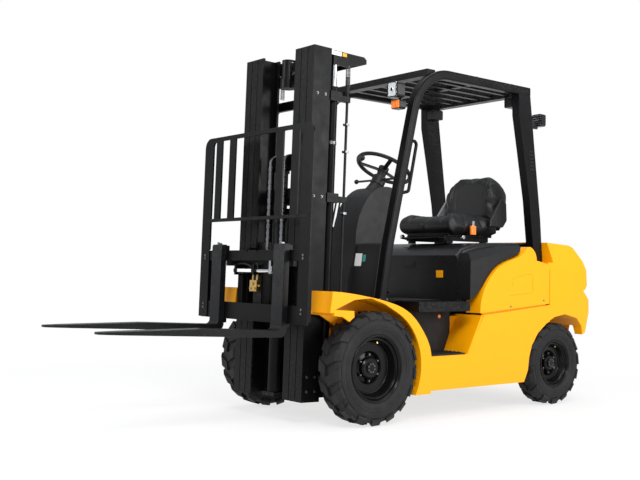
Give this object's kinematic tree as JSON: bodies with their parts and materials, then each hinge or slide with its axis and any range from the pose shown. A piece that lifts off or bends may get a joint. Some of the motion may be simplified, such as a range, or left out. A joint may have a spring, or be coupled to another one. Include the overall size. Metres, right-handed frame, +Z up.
{
  "type": "counterbalanced forklift truck",
  "caption": "Four-wheel counterbalanced forklift truck with a triple-stage tilting mast, side-shifting carriage, forks, load backrest, overhead guard and rear-wheel steering.",
  "frame": {"origin": "on the floor under the middle of the overall length and width, forks included", "axes": "+Z up, +X to the truck's left side, -Y forward towards the fork tips"},
  "size_m": [1.14, 3.6244, 2.1589],
  "materials": {
    "yellow_paint": "gloss enamel, warm yellow",
    "black_paint": "satin black enamel",
    "mast_paint": "satin black with worn running faces",
    "fork_paint": "black enamel on forged steel",
    "rim_paint": "gloss black",
    "axle_iron": "painted casting",
    "charcoal_plastic": "grained charcoal",
    "step_rubber": "studded mat",
    "hose_rubber": "smooth hose",
    "seat_vinyl": "black vinyl",
    "tyre_rubber": "industrial tread",
    "rod_chrome": "polished rod",
    "steel": "oiled steel",
    "core_alloy": "finned core",
    "lamp_plastic": "lamp housings"
  },
  "bodies": {
    "truck": {"frame": "yellow_paint", "step_mats": "step_rubber", "floor_plate": "black_paint", "drive_axle": "axle_iron", "steer_axle": "axle_iron", "counterweight": "yellow_paint", "tow_pin": "steel", "radiator": "core_alloy", "engine": "axle_iron", "side_covers": "yellow_paint", "dash_cowl": "charcoal_plastic", "steering_column": "charcoal_plastic", "control_levers": "charcoal_plastic", "pedals": "step_rubber", "overhead_guard": "black_paint", "front_lamps": "lamp_plastic", "rear_lamps": "lamp_plastic", "assist_grip": "black_paint"},
    "bonnet": {"hood": "charcoal_plastic", "seat_base": "black_paint", "seat_cushion": "seat_vinyl", "seat_back": "seat_vinyl"},
    "filler_lid": {"filler_door": "yellow_paint"},
    "steering": {"steering_wheel": "charcoal_plastic"},
    "wheel_front_left": {"front_tyre_left": "tyre_rubber", "front_rim_left": "rim_paint"},
    "wheel_front_right": {"front_tyre_right": "tyre_rubber", "front_rim_right": "rim_paint"},
    "steer_left": {"knuckle_left": "axle_iron"},
    "steer_right": {"knuckle_right": "axle_iron"},
    "wheel_rear_left": {"rear_tyre_left": "tyre_rubber", "rear_rim_left": "rim_paint"},
    "wheel_rear_right": {"rear_tyre_right": "tyre_rubber", "rear_rim_right": "rim_paint"},
    "tilt_tubes": {"tilt_barrels": "black_paint"},
    "tilt_pistons": {"tilt_rods": "rod_chrome"},
    "mast_outer": {"outer_mast": "mast_paint", "lift_barrels": "mast_paint", "mast_hoses": "hose_rubber"},
    "mast_middle": {"middle_mast": "mast_paint", "lift_rods": "rod_chrome"},
    "mast_inner": {"inner_mast": "mast_paint", "free_lift_barrel": "mast_paint"},
    "chain_head": {"crosshead": "mast_paint", "lift_chains": "steel"},
    "carriage": {"lift_carriage": "mast_paint", "shift_cylinder": "mast_paint"},
    "shifter": {"shift_carriage": "mast_paint", "shift_rod": "rod_chrome", "backrest": "mast_paint"},
    "fork_arm_left": {"fork_left": "fork_paint"},
    "fork_arm_right": {"fork_right": "fork_paint"}
  },
  "joints": [
    {"name": "front_wheel_left", "type": "hinge", "parent": "truck", "child": "wheel_front_left", "pos_m": [0.4825, -0.20276, 0.325], "axis": [1, 0, 0], "continuous": true},
    {"name": "front_wheel_right", "type": "hinge", "parent": "truck", "child": "wheel_front_right", "pos_m": [-0.4825, -0.20276, 0.325], "axis": [1, 0, 0], "continuous": true},
    {"name": "steer_left", "type": "hinge", "parent": "truck", "child": "steer_left", "pos_m": [0.3895, 1.43724, 0.275], "axis": [0, 0, 1], "range_deg": [-70, 70]},
    {"name": "rear_wheel_left", "type": "hinge", "parent": "steer_left", "child": "wheel_rear_left", "pos_m": [0.4875, 1.43724, 0.275], "axis": [1, 0, 0], "continuous": true},
    {"name": "steer_right", "type": "hinge", "parent": "truck", "child": "steer_right", "pos_m": [-0.3895, 1.43724, 0.275], "axis": [0, 0, 1], "range_deg": [-70, 70]},
    {"name": "rear_wheel_right", "type": "hinge", "parent": "steer_right", "child": "wheel_rear_right", "pos_m": [-0.4875, 1.43724, 0.275], "axis": [1, 0, 0], "continuous": true},
    {"name": "steering_wheel_turn", "type": "hinge", "parent": "truck", "child": "steering", "pos_m": [0, 0.34524, 1.545], "axis": [0, 0.4695, 0.8829], "continuous": true},
    {"name": "bonnet_lid", "type": "hinge", "parent": "truck", "child": "bonnet", "pos_m": [0, 1.35924, 1.078], "axis": [-1, 0, 0], "range_deg": [0, 60]},
    {"name": "filler_lid_swing", "type": "hinge", "parent": "truck", "child": "filler_lid", "pos_m": [0.56, 1.18224, 0.8], "axis": [0, 0, 1], "range_deg": [0, 100]},
    {"name": "mast_tilt", "type": "hinge", "parent": "truck", "child": "mast_outer", "pos_m": [0, -0.20276, 0.325], "axis": [1, 0, 0], "range_deg": [-8.5, 7.5]},
    {"name": "tilt_tube_swing", "type": "hinge", "parent": "truck", "child": "tilt_tubes", "pos_m": [0, 0.31724, 0.56], "axis": [1, 0, 0], "range_deg": [-12, 12]},
    {"name": "tilt_piston", "type": "slide", "parent": "tilt_tubes", "child": "tilt_pistons", "axis": [0, -0.9916, 0.129], "range_m": [-0.08, 0.08]},
    {"name": "main_lift", "type": "slide", "parent": "mast_outer", "child": "mast_middle", "axis": [0, 0.0262, 0.9997], "range_m": [0, 1.3]},
    {"name": "inner_lift", "type": "slide", "parent": "mast_middle", "child": "mast_inner", "axis": [0, 0.0262, 0.9997], "range_m": [0, 1.3]},
    {"name": "free_lift", "type": "slide", "parent": "mast_inner", "child": "carriage", "axis": [0, 0.0262, 0.9997], "range_m": [-0.44, 0.56]},
    {"name": "chain_head_lift", "type": "slide", "parent": "mast_inner", "child": "chain_head", "axis": [0, 0.0262, 0.9997], "range_m": [-0.25, 0.32]},
    {"name": "side_shift", "type": "slide", "parent": "carriage", "child": "shifter", "axis": [1, 0, 0], "range_m": [-0.1, 0.1]},
    {"name": "fork_left_spread", "type": "slide", "parent": "shifter", "child": "fork_arm_left", "axis": [1, 0, 0], "range_m": [-0.21, 0.08]},
    {"name": "fork_right_spread", "type": "slide", "parent": "shifter", "child": "fork_arm_right", "axis": [-1, 0, 0], "range_m": [-0.21, 0.08]}
  ],
  "couplings": [
    {"joint": "steer_right", "follows": "steer_left", "ratio": 1},
    {"joint": "tilt_tube_swing", "follows": "mast_tilt", "ratio": 0.2437},
    {"joint": "tilt_piston", "follows": "mast_tilt", "m_per_rad": 0.30141},
    {"joint": "inner_lift", "follows": "main_lift", "ratio": 1},
    {"joint": "chain_head_lift", "follows": "free_lift", "ratio": 0.5}
  ]
}
